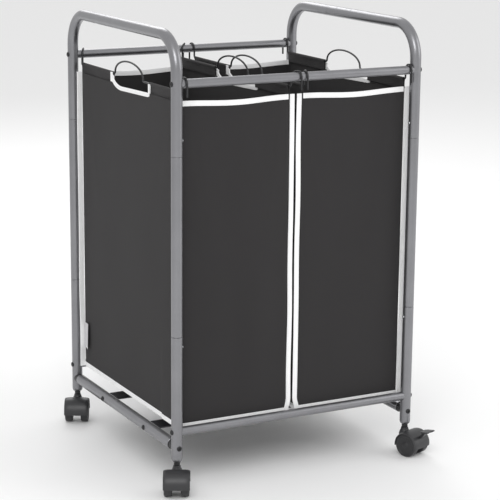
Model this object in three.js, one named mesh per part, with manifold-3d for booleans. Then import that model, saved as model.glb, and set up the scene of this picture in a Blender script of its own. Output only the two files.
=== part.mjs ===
// Laundry sorter on wheels: a silver tube cart that carries two lift-off bags side by side.
// Millimetres, +Z up. The origin is on the floor, midway between the four posts.
// +X runs along the rails from the left end frame to the right one, and +Y runs to the back.

import * as THREE from 'three';
import { mergeVertices } from 'three/addons/utils/BufferGeometryUtils.js';
import Module from 'manifold-3d';

const wasm = await Module();
wasm.setup();

// ---- Driving dimensions ----

const GAP = 0.35; // free space between pieces that touch on the real cart

const POST_HALF_X = 225; // post centre to the middle of the cart, along the rails
const POST_HALF_Y = 217.5; // post centre to the middle of the cart, front to back
const POST_R = 9.5; // 19 mm tube
const WALL = 0.9;
const POST_BOTTOM = 54;
const LOWER_JOINT = 270; // height where the lower and middle tubes meet
const UPPER_JOINT = 570; // height where the middle tube and the handle hoop meet
const HOOP_TOP = 762; // centre line of the handle bar
const HOOP_BEND = 57; // centre-line radius of its two bends
const SWAGE_LENGTH = 42; // reduced tube end that slides into its neighbour
const SWAGE_R = POST_R - WALL - GAP;
const NECK_LENGTH = 6; // rolled-in bottom end of a lower post

const RAIL_R = 7.5; // 15 mm tube
const TOP_RAIL_Z = 687;
const BOTTOM_RAIL_Z = 106;
const SIDE_RAIL_Z = 80;
const SADDLE_REACH = 17; // post centre to the outer face of a saddle

const SLAT_Y = [-102.5, 75.5];
const SLAT_WIDTH = 38;
const SLAT_THICK = 2;
const SLAT_TOP = 83;
const SLAT_TAB = 11; // length of the bent-down end that is screwed to the side rail

const BUTTON_R = 2.5;
const BUTTON_PROUD = 1.8;
const BUTTON_FLANGE_R = 3.5;
const BUTTON_ABOVE = 26; // button above the upper joint
const BUTTON_BELOW = 18; // button below the lower joint

const WIRE_R = 1.6;
const WIRE_INNER_X = 13.5; // a bag's wire nearest the middle of the cart
const WIRE_OUTER_X = 211.5; // and the one next to the end frame
const HEM_WIRE_Z = 670.5;
const HOOK_TIP_Z = 666;
const HOOK_R = RAIL_R + GAP + WIRE_R;
const WIRE_BEND = 4;
const ARCH_HALF = 58; // half the width of the wire handle
const ARCH_TOP = 697;

const CLOTH = 1; // wall of a bag
const BAG_INNER_X = WIRE_INNER_X - WIRE_R - GAP - CLOTH;
const BAG_OUTER_X = WIRE_OUTER_X + WIRE_R + GAP + CLOTH;
const BAG_HALF_Y = 203.5;
const BAG_BOTTOM = 105.5;
const BAG_FRONT_TOP = 656;
const BAG_HEM_TOP = HEM_WIRE_Z + WIRE_R + GAP + CLOTH;
const HEM_DEPTH = 16; // how far the folded hem reaches down over the wire
const NOTCH = [-87, 65]; // front and back edges of the cut-out under a wire handle
const NOTCH_BOTTOM = 650;

const WHEEL_R = 21;
const WHEEL_WIDTH = 14;
const WHEEL_INNER_Y = 7.5; // middle of the caster to a wheel's inner face
const TRAIL = 17.5; // swivel axis to the axle
const HOOD_INNER_R = 22.2;
const HOOD_OUTER_R = 24;
const HOOD_HALF_WIDTH = 23;
const HOOD_BOTTOM = 17;
const WEB_HALF = 6.8; // half the thickness of the hood's middle web
const BOSS_TOP = 47.5;
const AXLE_R = 3;
const AXLE_HALF = 18;
const STEM_R = 4;
const COLLAR_R = 5.25;
const STEM_TOP = 90;
const LEVER_PIVOT = [31.5, 34]; // beside the swivel axis and above the floor
const LEVER_SLOT_HALF = 5.2;
const LEVER_TIP = 60;

// Rest direction of each caster, in degrees from +X, and whether it has a brake.
const CASTERS = [
  { name: 'front_left', side: -1, end: -1, heading: -117, brake: false },
  { name: 'back_left', side: -1, end: 1, heading: -117, brake: false },
  { name: 'front_right', side: 1, end: -1, heading: -70, brake: true },
  { name: 'back_right', side: 1, end: 1, heading: 70, brake: true },
];

const TUBE_SIDES = 12;
const WIRE_SIDES = 6;
const PIN_SIDES = 8;
const WHEEL_SIDES = 24;

// ---- Finishes ----

const FINISH = {
  frame: { color: 0x8f8f90, roughness: 0.38, metalness: 0.85 },
  slat: { color: 0x3c3c3e, roughness: 0.5, metalness: 0.6 },
  saddle: { color: 0x1c1c1d, roughness: 0.6, metalness: 0 },
  steel: { color: 0xb9bbbd, roughness: 0.28, metalness: 1 },
  wire: { color: 0x1d1d1f, roughness: 0.35, metalness: 0.2 },
  cloth: { color: 0x2f2e2f, roughness: 0.9, metalness: 0 },
  caster: { color: 0x2b2b2d, roughness: 0.5, metalness: 0 },
  tread: { color: 0x242426, roughness: 0.65, metalness: 0 },
};

const cart = new THREE.Group();

function place(name, geometry, finish, parent = cart) {
  const mesh = new THREE.Mesh(geometry, new THREE.MeshStandardMaterial(FINISH[finish]));
  mesh.name = name;
  parent.add(mesh);
  return mesh;
}

// ---- Solid helpers ----

// Turn a closed geometry into a solid that can be cut and joined.
function solid(geometry) {
  const bare = geometry.index ? geometry.clone() : geometry;
  bare.deleteAttribute('normal');
  bare.deleteAttribute('uv');
  const merged = mergeVertices(bare, 1e-4);
  return new wasm.Manifold(new wasm.Mesh({
    numProp: 3,
    vertProperties: new Float32Array(merged.attributes.position.array),
    triVerts: new Uint32Array(merged.index.array),
  }));
}

// Turn a solid back into a geometry.
function geometryOf(body) {
  const mesh = body.getMesh();
  const geometry = new THREE.BufferGeometry();
  const points = new Float32Array(mesh.numVert * 3);
  for (let i = 0; i < mesh.numVert; i += 1) {
    for (let k = 0; k < 3; k += 1) {
      points[3 * i + k] = mesh.vertProperties[mesh.numProp * i + k];
    }
  }
  geometry.setAttribute('position', new THREE.BufferAttribute(points, 3));
  geometry.setIndex(new THREE.BufferAttribute(new Uint32Array(mesh.triVerts), 1));
  geometry.computeVertexNormals();
  return geometry;
}

// Box between two corners.
function block(low, high) {
  const size = high.map((v, i) => v - low[i]);
  const geometry = new THREE.BoxGeometry(...size);
  geometry.translate(...low.map((v, i) => v + size[i] / 2));
  return geometry;
}

// Upright cylinder, with a flat side turned to face outwards along X and Y.
function pillar(radius, low, high, sides = TUBE_SIDES) {
  const geometry = new THREE.CylinderGeometry(radius, radius, high - low, sides);
  geometry.rotateX(Math.PI / 2);
  geometry.translate(0, 0, (low + high) / 2);
  return geometry;
}

// Cylinder along X or Y.
function bar(radius, low, high, axis, sides = TUBE_SIDES) {
  const geometry = new THREE.CylinderGeometry(radius, radius, high - low, sides);
  if (axis === 'x') {
    geometry.rotateZ(-Math.PI / 2);
    geometry.translate((low + high) / 2, 0, 0);
  } else {
    geometry.translate(0, (low + high) / 2, 0);
  }
  return geometry;
}

// Body turned about +Z from [radius, height] points that close on the axis or on themselves.
function turned(points, sides = TUBE_SIDES) {
  const geometry = new THREE.LatheGeometry(points.map((p) => new THREE.Vector2(...p)), sides);
  geometry.rotateX(Math.PI / 2);
  return geometry;
}

// Hollow upright tube as a closed turned ring.
function pipe(outer, inner, low, high, sides = TUBE_SIDES) {
  return turned([[inner, low], [outer, low], [outer, high], [inner, high], [inner, low]], sides);
}

// Path that passes through given stations, each a point with its direction.
class StationPath extends THREE.Curve {
  constructor(stations) {
    super();
    this.stations = stations;
  }

  getPoint(t, target = new THREE.Vector3()) {
    const last = this.stations.length - 1;
    return target.copy(this.stations[Math.round(t * last)].point);
  }

  getPointAt(u, target) {
    return this.getPoint(u, target);
  }

  getTangentAt(u, target = new THREE.Vector3()) {
    const last = this.stations.length - 1;
    return target.copy(this.stations[Math.round(u * last)].direction);
  }
}

// Stations in the YZ plane: straight runs and elliptical arcs, one after another.
class Route {
  constructor(x) {
    this.x = x;
    this.stations = [];
  }

  add(y, z, dy, dz) {
    const point = new THREE.Vector3(this.x, y, z);
    const direction = new THREE.Vector3(0, dy, dz).normalize();
    this.stations.push({ point, direction });
    return this;
  }

  // Arc about (cy, cz) with half axes ry and rz, from one angle to another, in degrees.
  arc(cy, cz, ry, rz, from, to, steps) {
    const turn = Math.sign(to - from);
    for (let i = 0; i <= steps; i += 1) {
      const a = THREE.MathUtils.degToRad(from + ((to - from) * i) / steps);
      this.add(
        cy + ry * Math.cos(a),
        cz + rz * Math.sin(a),
        -turn * ry * Math.sin(a),
        turn * rz * Math.cos(a),
      );
    }
    return this;
  }

  // Sweep a round section, hollow if an inner radius is given.
  sweep(radius, sides, inner = 0) {
    const outline = new THREE.Shape(ring(radius, sides));
    if (inner) {
      outline.holes.push(new THREE.Path(ring(inner, sides).reverse()));
    }
    return new THREE.ExtrudeGeometry(outline, {
      steps: this.stations.length - 1,
      extrudePath: new StationPath(this.stations),
      bevelEnabled: false,
    });
  }
}

function ring(radius, sides) {
  return Array.from({ length: sides }, (_, i) => {
    const a = (2 * Math.PI * i) / sides;
    return new THREE.Vector2(radius * Math.cos(a), radius * Math.sin(a));
  });
}

// ---- Frame ----

const buttonHole = BUTTON_R + GAP;
const UPPER_BUTTON = UPPER_JOINT + BUTTON_ABOVE;
const LOWER_BUTTON = LOWER_JOINT - BUTTON_BELOW;

// Hole through the wall on the side that faces the middle of the cart.
function sideHole(side, height) {
  const hole = bar(buttonHole, 0, POST_R + GAP, 'x', PIN_SIDES);
  hole.scale(-side, 1, 1);
  hole.translate(0, 0, height);
  return solid(side > 0 ? flipped(hole) : hole);
}

// Mirroring turns a geometry inside out, so its faces are wound the other way.
function flipped(geometry) {
  const index = geometry.index.array;
  for (let i = 0; i < index.length; i += 3) {
    [index[i], index[i + 1]] = [index[i + 1], index[i]];
  }
  return geometry;
}

function lowerPost(side) {
  const inner = POST_R - WALL;
  const neck = STEM_R + GAP;
  const outline = [
    [neck, POST_BOTTOM],
    [POST_R - 3.5, POST_BOTTOM],
    [POST_R - 1.2, POST_BOTTOM + NECK_LENGTH / 3],
    [POST_R, POST_BOTTOM + NECK_LENGTH],
    [POST_R, LOWER_JOINT],
    [inner, LOWER_JOINT],
    [inner, POST_BOTTOM + NECK_LENGTH],
    [neck, POST_BOTTOM + NECK_LENGTH / 2],
    [neck, POST_BOTTOM],
  ];
  return geometryOf(solid(turned(outline)).subtract(sideHole(side, LOWER_BUTTON)));
}

function middlePost(side) {
  const low = LOWER_JOINT + GAP;
  const high = UPPER_JOINT;
  const inner = POST_R - WALL;
  const swageInner = SWAGE_R - WALL;
  const shoulder = 3;
  const outline = [
    [swageInner, low - SWAGE_LENGTH],
    [SWAGE_R, low - SWAGE_LENGTH],
    [SWAGE_R, low],
    [POST_R, low],
    [POST_R, high],
    [SWAGE_R, high],
    [SWAGE_R, high + SWAGE_LENGTH],
    [swageInner, high + SWAGE_LENGTH],
    [swageInner, high - shoulder],
    [inner, high - 2 * shoulder],
    [inner, low + 2 * shoulder],
    [swageInner, low + shoulder],
    [swageInner, low - SWAGE_LENGTH],
  ];
  return geometryOf(
    solid(turned(outline))
      .subtract(sideHole(side, LOWER_BUTTON))
      .subtract(sideHole(side, UPPER_BUTTON)),
  );
}

// Handle: one tube bent into a hoop, down to the upper joints at both ends.
function handleHoop(side) {
  const flat = HOOP_TOP - HOOP_BEND;
  const reach = POST_HALF_Y - HOOP_BEND;
  const bendSteps = 6;
  const route = new Route(0)
    .add(-POST_HALF_Y, UPPER_JOINT + GAP, 0, 1)
    .arc(-reach, flat, HOOP_BEND, HOOP_BEND, 180, 90, bendSteps)
    .arc(reach, flat, HOOP_BEND, HOOP_BEND, 90, 0, bendSteps)
    .add(POST_HALF_Y, UPPER_JOINT + GAP, 0, -1);
  let body = solid(route.sweep(POST_R, TUBE_SIDES, POST_R - WALL));
  for (const end of [-1, 1]) {
    body = body.subtract(sideHole(side, UPPER_BUTTON).translate([0, end * POST_HALF_Y, 0]));
  }
  return geometryOf(body);
}

// Rail between two posts, with its ends cut to the posts' round sides.
function crossRail() {
  const reach = POST_HALF_X - POST_R / 2;
  const tube = pipe(RAIL_R, RAIL_R - WALL, -reach, reach);
  tube.rotateY(Math.PI / 2);
  let body = solid(tube);
  for (const side of [-1, 1]) {
    const post = pillar(POST_R + GAP, -2 * RAIL_R, 2 * RAIL_R);
    post.translate(side * POST_HALF_X, 0, 0);
    body = body.subtract(solid(post));
  }
  return geometryOf(body);
}

function sideRail() {
  const reach = POST_HALF_Y - SADDLE_REACH - GAP;
  const tube = pipe(POST_R, POST_R - WALL, -reach, reach);
  tube.rotateX(Math.PI / 2);
  return tube;
}

// Saddle: a short plug, hollowed to the post, between the post and the end of a side rail.
function saddle(end) {
  const plug = bar(POST_R - 0.6, POST_R / 2, SADDLE_REACH, 'y');
  const post = pillar(POST_R + GAP, -2 * POST_R, 2 * POST_R);
  const body = solid(plug).subtract(solid(post));
  return geometryOf(end > 0 ? body.mirror([0, 1, 0]) : body);
}

// Flat slat with both ends bent down against the inner sides of the side rails.
function baseSlat() {
  const reach = POST_HALF_X - POST_R - GAP;
  const outline = new THREE.Shape([
    [-reach, -SLAT_TAB],
    [-reach + SLAT_THICK, -SLAT_TAB],
    [-reach + SLAT_THICK, -SLAT_THICK],
    [reach - SLAT_THICK, -SLAT_THICK],
    [reach - SLAT_THICK, -SLAT_TAB],
    [reach, -SLAT_TAB],
    [reach, 0],
    [-reach, 0],
  ].map((p) => new THREE.Vector2(...p)));
  const geometry = new THREE.ExtrudeGeometry(outline, { depth: SLAT_WIDTH, bevelEnabled: false });
  geometry.rotateX(Math.PI / 2);
  geometry.translate(0, SLAT_WIDTH / 2, 0);
  return geometry;
}

// Spring button: a domed pin with a flange that stops it inside the tube.
function snapButton() {
  const flange = POST_R - 5;
  const tip = POST_R + BUTTON_PROUD;
  const outline = [
    [0, flange],
    [BUTTON_FLANGE_R, flange],
    [BUTTON_FLANGE_R, flange + 1],
    [BUTTON_R, flange + 1],
    [BUTTON_R, tip - 1],
    [BUTTON_R / 2, tip],
    [0, tip],
  ];
  const geometry = turned(outline, PIN_SIDES);
  geometry.rotateY(Math.PI / 2);
  return geometry;
}

for (const side of [-1, 1]) {
  const endName = side < 0 ? 'left' : 'right';
  const endFrame = new THREE.Group();
  endFrame.position.x = side * POST_HALF_X;
  cart.add(endFrame);
  place(`handle_hoop_${endName}`, handleHoop(side), 'frame', endFrame);
  place(`side_rail_${endName}`, sideRail(), 'frame', endFrame).position.z = SIDE_RAIL_Z;
  for (const end of [-1, 1]) {
    const corner = `${end < 0 ? 'front' : 'back'}_${endName}`;
    const post = new THREE.Group();
    post.position.y = end * POST_HALF_Y;
    endFrame.add(post);
    place(`lower_post_${corner}`, lowerPost(side), 'frame', post);
    place(`middle_post_${corner}`, middlePost(side), 'frame', post);
    place(`saddle_${corner}`, saddle(end), 'saddle', post).position.z = SIDE_RAIL_Z;
    for (const [level, height] of [['upper', UPPER_BUTTON], ['lower', LOWER_BUTTON]]) {
      const button = place(`snap_button_${level}_${corner}`, snapButton(), 'steel', post);
      button.position.z = height;
      button.rotation.z = side < 0 ? 0 : Math.PI;
    }
  }
}

for (const [level, height] of [['top', TOP_RAIL_Z], ['bottom', BOTTOM_RAIL_Z]]) {
  for (const end of [-1, 1]) {
    const rail = place(`${level}_rail_${end < 0 ? 'front' : 'back'}`, crossRail(), 'frame');
    rail.position.set(0, end * POST_HALF_Y, height);
  }
}

SLAT_Y.forEach((y, i) => {
  place(`base_slat_${i ? 'back' : 'front'}`, baseSlat(), 'slat').position.set(0, y, SLAT_TOP);
});

// ---- Bags and their wires ----

// One wire: hook over the front rail, along the hem, up into the handle arch, and the same back.
function bagWire() {
  const hookCentre = POST_HALF_Y;
  const inside = hookCentre - HOOK_R;
  const archFoot = HEM_WIRE_Z + WIRE_BEND;
  const hookSteps = 6;
  const bendSteps = 2;
  const archSteps = 8;
  return new Route(0)
    .add(-hookCentre - HOOK_R, HOOK_TIP_Z, 0, 1)
    .arc(-hookCentre, TOP_RAIL_Z, HOOK_R, HOOK_R, 180, 0, hookSteps)
    .arc(-inside + WIRE_BEND, archFoot, WIRE_BEND, WIRE_BEND, 180, 270, bendSteps)
    .arc(-ARCH_HALF - WIRE_BEND, archFoot, WIRE_BEND, WIRE_BEND, -90, 0, bendSteps)
    .arc(0, archFoot, ARCH_HALF, ARCH_TOP - archFoot, 180, 0, archSteps)
    .arc(ARCH_HALF + WIRE_BEND, archFoot, WIRE_BEND, WIRE_BEND, 180, 270, bendSteps)
    .arc(inside - WIRE_BEND, archFoot, WIRE_BEND, WIRE_BEND, -90, 0, bendSteps)
    .arc(hookCentre, TOP_RAIL_Z, HOOK_R, HOOK_R, 180, 0, hookSteps)
    .add(hookCentre + HOOK_R, HOOK_TIP_Z, 0, -1);
}

// Bag between x = low and x = high: an open box with a folded hem along each side.
function bag(low, high) {
  const hemFold = HEM_WIRE_Z - HEM_DEPTH;
  const channel = 2 * (WIRE_R + GAP);
  const hemWidth = channel + 2 * CLOTH;
  const outer = block([low, -BAG_HALF_Y, BAG_BOTTOM], [high, BAG_HALF_Y, BAG_HEM_TOP]);
  const inside = BAG_HALF_Y - CLOTH;
  let body = solid(outer)
    .subtract(solid(block(
      [low + CLOTH, -inside, BAG_BOTTOM + CLOTH],
      [high - CLOTH, inside, hemFold],
    )))
    .subtract(solid(block(
      [low + hemWidth, -inside, hemFold - CLOTH],
      [high - hemWidth, inside, BAG_HEM_TOP + CLOTH],
    )))
    .subtract(solid(block(
      [low + hemWidth, -BAG_HALF_Y - CLOTH, BAG_FRONT_TOP],
      [high - hemWidth, BAG_HALF_Y + CLOTH, BAG_HEM_TOP + CLOTH],
    )));
  for (const left of [low + CLOTH, high - CLOTH - channel]) {
    body = body.subtract(solid(block(
      [left, -BAG_HALF_Y - CLOTH, BAG_FRONT_TOP],
      [left + channel, BAG_HALF_Y + CLOTH, BAG_HEM_TOP - CLOTH],
    )));
    body = body.subtract(solid(block(
      [left, -inside, hemFold - CLOTH],
      [left + channel, inside, BAG_FRONT_TOP + CLOTH],
    )));
  }
  body = body.subtract(solid(block(
    [low - CLOTH, NOTCH[0], NOTCH_BOTTOM],
    [high + CLOTH, NOTCH[1], BAG_HEM_TOP + CLOTH],
  )));
  return geometryOf(body);
}

for (const side of [-1, 1]) {
  const name = side < 0 ? 'left' : 'right';
  const edges = [side * BAG_INNER_X, side * BAG_OUTER_X].sort((a, b) => a - b);
  place(`bag_${name}`, bag(...edges), 'cloth');
  for (const [which, x] of [['inner', WIRE_INNER_X], ['outer', WIRE_OUTER_X]]) {
    const wire = place(`bag_wire_${name}_${which}`, bagWire().sweep(WIRE_R, WIRE_SIDES), 'wire');
    wire.position.x = side * x;
  }
}

// ---- Casters ----

// Outline in the XZ plane, swept across the caster's width.
function acrossCaster(points, halfWidth) {
  const outline = new THREE.Shape(points.map((p) => new THREE.Vector2(...p)));
  const geometry = new THREE.ExtrudeGeometry(outline, { depth: 2 * halfWidth, bevelEnabled: false });
  geometry.rotateX(Math.PI / 2);
  geometry.translate(0, halfWidth, 0);
  return geometry;
}

function arcPoints(radius, from, to, steps) {
  return Array.from({ length: steps + 1 }, (_, i) => {
    const a = THREE.MathUtils.degToRad(from + ((to - from) * i) / steps);
    return [TRAIL + radius * Math.cos(a), WHEEL_R + radius * Math.sin(a)];
  });
}

// Hood: a round cover over both wheels, a middle web between them and a boss for the stem.
function casterHood(brake) {
  const cover = acrossCaster([
    [TRAIL + HOOD_OUTER_R, HOOD_BOTTOM],
    ...arcPoints(HOOD_OUTER_R, 0, 180, 14),
    [TRAIL - HOOD_OUTER_R, HOOD_BOTTOM],
  ], HOOD_HALF_WIDTH);
  const boss = pillar(WEB_HALF, HOOD_BOTTOM, BOSS_TOP);
  let body = solid(cover).add(solid(boss));
  for (const side of [-1, 1]) {
    const inner = WEB_HALF;
    const outer = HOOD_HALF_WIDTH + 1;
    const pocket = bar(HOOD_INNER_R, side > 0 ? inner : -outer, side > 0 ? outer : -inner, 'y', WHEEL_SIDES);
    pocket.translate(TRAIL, 0, WHEEL_R);
    const below = block(
      [TRAIL - HOOD_INNER_R, side > 0 ? inner : -outer, HOOD_BOTTOM - 1],
      [TRAIL + HOOD_INNER_R, side > 0 ? outer : -inner, WHEEL_R],
    );
    body = body.subtract(solid(pocket)).subtract(solid(below));
  }
  const axleHole = bar(AXLE_R + GAP, -HOOD_HALF_WIDTH, HOOD_HALF_WIDTH, 'y', 12);
  axleHole.translate(TRAIL, 0, WHEEL_R);
  const stemHole = pillar(STEM_R + GAP, HOOD_BOTTOM + 3, BOSS_TOP + 1);
  body = body.subtract(solid(axleHole)).subtract(solid(stemHole));
  if (brake) {
    const [px, pz] = LEVER_PIVOT;
    const slot = block([px - 7, -LEVER_SLOT_HALF, pz - 8], [px + 20, LEVER_SLOT_HALF, pz + 20]);
    const pinHole = bar(1.5 + GAP, -WEB_HALF - 1, WEB_HALF + 1, 'y', PIN_SIDES);
    pinHole.translate(px, 0, pz);
    body = body.subtract(solid(slot)).subtract(solid(pinHole));
  }
  return geometryOf(body);
}

// Brake lever: a foot plate on an arm that turns on two stub pins in the hood.
function brakeLever() {
  const [px, pz] = LEVER_PIVOT;
  const arm = acrossCaster([
    [px - 4, pz - 3],
    [px + 3, pz - 4],
    [px + 12, pz + 4],
    [px + 17, pz + 15],
    [px + 12, pz + 15],
    [px + 6, pz + 7],
    [px - 3, pz + 3],
  ], LEVER_SLOT_HALF - GAP);
  const plate = acrossCaster([
    [px + 10, pz + 13],
    [LEVER_TIP, pz + 17],
    [LEVER_TIP, pz + 20],
    [px + 10, pz + 16],
  ], 11);
  const pins = bar(1.5, -WEB_HALF + 0.2, WEB_HALF - 0.2, 'y', PIN_SIDES);
  pins.translate(px, 0, pz);
  return geometryOf(solid(arm).add(solid(plate)).add(solid(pins)));
}

// Wheel, with a flat side of its polygon turned down so that it stands on the floor.
function casterWheel(side) {
  const sideRadius = WHEEL_R / Math.cos(Math.PI / WHEEL_SIDES);
  const edge = 2;
  const high = WHEEL_INNER_Y + WHEEL_WIDTH;
  const outline = [
    [0, AXLE_HALF + GAP],
    [AXLE_R + GAP, AXLE_HALF + GAP],
    [AXLE_R + GAP, WHEEL_INNER_Y],
    [sideRadius - edge, WHEEL_INNER_Y],
    [sideRadius, WHEEL_INNER_Y + edge],
    [sideRadius, high - edge],
    [sideRadius - edge, high],
    [0, high],
  ];
  const geometry = turned(outline, WHEEL_SIDES);
  geometry.rotateZ(Math.PI / WHEEL_SIDES);
  geometry.rotateX(side > 0 ? -Math.PI / 2 : Math.PI / 2);
  return geometry;
}

// Stem: a pin with a collar between post and hood, and a grip head inside the post.
function casterStem() {
  const headLow = POST_BOTTOM + 2 * NECK_LENGTH;
  return turned([
    [0, HOOD_BOTTOM + 3 + GAP],
    [STEM_R, HOOD_BOTTOM + 3 + GAP],
    [STEM_R, BOSS_TOP + GAP],
    [COLLAR_R, BOSS_TOP + GAP],
    [COLLAR_R, POST_BOTTOM - GAP],
    [STEM_R, POST_BOTTOM - GAP],
    [STEM_R, headLow],
    [POST_R - WALL - GAP, headLow + 3],
    [POST_R - WALL - GAP, STEM_TOP - 3],
    [STEM_R, STEM_TOP],
    [0, STEM_TOP],
  ]);
}

for (const caster of CASTERS) {
  const group = new THREE.Group();
  group.position.set(caster.side * POST_HALF_X, caster.end * POST_HALF_Y, 0);
  cart.add(group);
  place(`caster_stem_${caster.name}`, casterStem(), 'steel', group);
  const swivel = new THREE.Group();
  swivel.rotation.z = THREE.MathUtils.degToRad(caster.heading);
  group.add(swivel);
  place(`caster_hood_${caster.name}`, casterHood(caster.brake), 'caster', swivel);
  const axle = place(`caster_axle_${caster.name}`, bar(AXLE_R, -AXLE_HALF, AXLE_HALF, 'y', 12), 'steel', swivel);
  axle.position.set(TRAIL, 0, WHEEL_R);
  for (const [hand, side] of [['a', 1], ['b', -1]]) {
    const wheel = place(`wheel_${hand}_${caster.name}`, casterWheel(side), 'tread', swivel);
    wheel.position.set(TRAIL, 0, WHEEL_R);
  }
  if (caster.brake) {
    place(`brake_lever_${caster.name}`, brakeLever(), 'caster', swivel);
  }
}

export default cart;
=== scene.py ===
"""Laundry sorter on wheels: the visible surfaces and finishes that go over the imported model.

Metres, +Z up. The origin is on the floor, midway between the four posts.
"""
import math

import bmesh
import bpy
import numpy as np
from bpy.props import FloatProperty, FloatVectorProperty, IntProperty, PointerProperty
from mathutils import Matrix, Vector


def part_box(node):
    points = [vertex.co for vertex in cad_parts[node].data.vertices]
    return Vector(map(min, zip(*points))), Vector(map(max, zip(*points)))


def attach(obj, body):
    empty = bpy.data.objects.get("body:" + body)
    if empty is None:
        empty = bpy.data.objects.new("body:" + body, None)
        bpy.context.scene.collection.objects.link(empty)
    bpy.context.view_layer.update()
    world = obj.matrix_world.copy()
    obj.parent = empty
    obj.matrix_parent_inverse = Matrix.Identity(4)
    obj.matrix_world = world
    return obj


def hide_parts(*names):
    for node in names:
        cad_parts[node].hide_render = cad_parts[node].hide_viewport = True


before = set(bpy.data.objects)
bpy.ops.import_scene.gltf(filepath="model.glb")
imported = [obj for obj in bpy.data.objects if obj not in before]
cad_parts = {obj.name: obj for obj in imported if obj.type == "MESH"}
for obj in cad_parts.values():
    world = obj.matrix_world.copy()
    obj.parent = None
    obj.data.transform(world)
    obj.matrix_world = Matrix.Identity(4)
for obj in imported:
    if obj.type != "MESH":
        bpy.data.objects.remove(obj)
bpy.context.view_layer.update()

bl_info = {
    "name": "Laundry sorter on wheels",
    "version": (1, 0, 0),
    "blender": (4, 5, 0),
    "location": "View3D > Sidebar > Sorter",
    "description": "Builds the tube frame, the cloth bags and the casters over the packed model",
    "category": "Object",
}

MM = 0.001
CORNERS = ("front_left", "back_left", "front_right", "back_right")
UP = np.array([0.0, 0.0, 1.0])


def middle(node):
    """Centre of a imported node's box."""
    low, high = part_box(node)
    return (np.array(low) + np.array(high)) / 2


POST_X = middle("lower_post_front_right")[0]
POST_Y = middle("lower_post_back_right")[1]
TOP_RAIL_Z = middle("top_rail_front")[2]
BOTTOM_RAIL_Z = middle("bottom_rail_front")[2]
SIDE_RAIL_Z = middle("side_rail_left")[2]
POST_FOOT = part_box("lower_post_front_left")[0][2]
LOWER_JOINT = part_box("lower_post_front_left")[1][2]
UPPER_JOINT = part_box("handle_hoop_left")[0][2]
HANDLE_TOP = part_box("handle_hoop_left")[1][2]


def linear(red, green, blue):
    """Screen colour from 0 to 255 as the linear colour that shaders use."""
    return tuple(
        c / 12.92 if c <= 0.04045 else ((c + 0.055) / 1.055) ** 2.4
        for c in (red / 255, green / 255, blue / 255)
    )


def colour_prop(name, description, rgb):
    return FloatVectorProperty(
        name=name, description=description, default=linear(*rgb), subtype="COLOR", min=0, max=1
    )


def length_prop(name, description, value):
    return FloatProperty(name=name, description=description, default=value, unit="LENGTH")


class FrameSettings(bpy.types.PropertyGroup):
    post_radius: length_prop("Post radius", "Radius of the posts, handles and side rails", 9.5 * MM)
    rail_radius: length_prop("Rail radius", "Radius of the top and bottom rails", 7.5 * MM)
    bend_radius: length_prop("Handle bend", "Centre-line radius of a handle's bends", 57 * MM)
    screw_radius: length_prop("Screw head", "Radius of a screw head", 4.4 * MM)
    silver: colour_prop("Silver", "Metallic powder coat of the tubes", (138, 138, 141))
    dark: colour_prop("Slat grey", "Coat of the base slats", (66, 66, 69))
    black: colour_prop("Fitting black", "Screws, saddles and wires", (34, 34, 36))
    steel: colour_prop("Steel", "Plated buttons and pins", (205, 207, 210))


class BagSettings(bpy.types.PropertyGroup):
    cloth_thickness: length_prop("Cloth", "Thickness of the cloth", 0.9 * MM)
    trim_width: length_prop("Trim", "Width of the white binding", 8.8 * MM)
    wire_radius: length_prop("Wire", "Radius of the hanging wires", 1.6 * MM)
    thread_pitch: length_prop("Thread pitch", "Distance between the threads of the weave", 1.1 * MM)
    slack: length_prop("Slack", "How far the panels stand out between their seams", 3.2 * MM)
    crease: length_prop("Creases", "Height of the soft folds in the panels", 0.9 * MM)
    fold_seed: IntProperty(name="Fold seed", description="Which soft folds are drawn", default=11)
    charcoal: colour_prop("Charcoal", "Body cloth", (32, 30, 31))
    white: colour_prop("White", "Binding tape", (250, 250, 250))
    label: colour_prop("Label", "Blank care label", (196, 196, 198))


class CasterSettings(bpy.types.PropertyGroup):
    wheel_radius: length_prop("Wheel radius", "Radius of a wheel", 21 * MM)
    trail: length_prop("Trail", "Swivel axis to axle", 17.5 * MM)
    hood_radius: length_prop("Hood radius", "Outside radius of the hood", 24 * MM)
    half_width: length_prop("Hood half width", "Half the width across both wheels", 23 * MM)
    grey: colour_prop("Hood grey", "Moulded hood and lever", (46, 46, 48))
    tread: colour_prop("Wheel grey", "Moulded wheels", (40, 40, 42))


def settings():
    scene = bpy.context.scene
    return scene.sorter_frame, scene.sorter_bags, scene.sorter_casters


# ---- Surfaces ----


def lattice(rows, cols):
    """Corner indices of the cells of a rows by cols grid, as two (cells, 4) arrays."""
    i, j = np.meshgrid(np.arange(rows - 1), np.arange(cols - 1), indexing="ij")
    i, j = i.reshape(-1, 1), j.reshape(-1, 1)
    return i + np.array([0, 0, 1, 1]), j + np.array([0, 1, 1, 0])


def patch(points, u=None, v=None, paint=0):
    """A grid of points (rows, cols, 3) as faces, with u across the columns and v up the rows."""
    rows, cols = points.shape[:2]
    i, j = lattice(rows, cols)
    u = np.arange(cols) * MM if u is None else u
    v = np.arange(rows) * MM if v is None else v
    uv = np.stack([u[j], v[i]], axis=-1)
    return points.reshape(-1, 3), i * cols + j, uv, paint


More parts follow.
